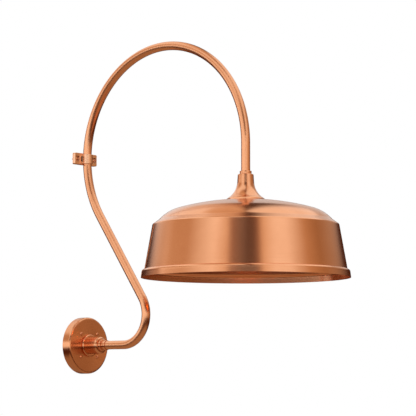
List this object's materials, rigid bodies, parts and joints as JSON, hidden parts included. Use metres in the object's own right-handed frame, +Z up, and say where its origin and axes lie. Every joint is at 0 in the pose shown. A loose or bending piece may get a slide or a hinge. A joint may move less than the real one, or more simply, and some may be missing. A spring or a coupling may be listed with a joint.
{
  "type": "gooseneck wall sconce",
  "caption": "Copper wall sconce: a round wall plate and hub carry a gooseneck pipe, strapped to the wall, with a wide spun shade over a screw-in lamp.",
  "frame": {"origin": "centre of the wall plate's back face, on the hub's axis", "axes": "+X out of the wall into the room, +Z up, arm in the plane Y = 0"},
  "size_m": [0.8067, 0.4904, 0.8068],
  "materials": {
    "spun_copper": "satin brushed copper, spun sheet",
    "copper_pipe": "satin copper pipe",
    "turned_copper": "satin copper, turned",
    "zinc_steel": "zinc-plated steel",
    "foam": "black closed-cell foam",
    "porcelain": "white glaze",
    "brass": "bare brass",
    "cap_metal": "bright threaded sheet",
    "black_glass": "black vitreous insulator",
    "clear_glass": "clear",
    "filament": "yellow phosphor coating",
    "black_lead": "black insulation",
    "white_lead": "white insulation",
    "green_lead": "green insulation",
    "connector": "orange moulding",
    "green_screw": "green ground screw"
  },
  "bodies": {
    "fixture": {"wall_plate": "spun_copper", "wall_gasket": "foam", "plate_screws": "turned_copper", "hub_ring": "turned_copper", "hub_barrel": "turned_copper", "hub_washer": "zinc_steel", "ground_lug": "zinc_steel", "hub_locknut": "zinc_steel", "pipe_collar": "turned_copper", "collar_grub_screw": "turned_copper", "arm_pipe": "copper_pipe", "strap_back": "turned_copper", "pipe_strap": "turned_copper", "strap_screws": "turned_copper", "neck": "spun_copper", "neck_collar": "turned_copper", "neck_grub_screw": "turned_copper", "shade": "spun_copper", "pipe_bush": "zinc_steel", "nipple": "zinc_steel", "shade_washer": "zinc_steel", "shade_locknut": "zinc_steel", "socket_cup": "spun_copper", "cup_nut": "zinc_steel", "lamp_holder": "porcelain", "holder_screws": "brass", "screw_shell": "brass", "contact_tongue": "brass", "terminal_screws": "brass", "lead_black": "black_lead", "lead_white": "white_lead", "lead_ground": "green_lead", "ground_screw": "green_screw", "wire_connectors": "connector"},
    "bulb_tip": {"bulb_contact": "brass"},
    "bulb": {"bulb_glass": "clear_glass", "bulb_cap": "cap_metal", "bulb_insulator": "black_glass", "bulb_stem": "clear_glass", "bulb_filaments": "filament", "filament_wires": "zinc_steel"}
  },
  "joints": [
    {"name": "bulb_travel", "type": "slide", "parent": "fixture", "child": "bulb_tip", "axis": [0, 0, -1], "range_m": [0, 0.01815]},
    {"name": "bulb_turn", "type": "hinge", "parent": "bulb_tip", "child": "bulb", "pos_m": [0.5295, 0, 0.2629], "axis": [0, 0, -1], "range_deg": [0, 1800]}
  ],
  "couplings": [
    {"joint": "bulb_turn", "follows": "bulb_travel", "rad_per_m": 1731.4}
  ]
}
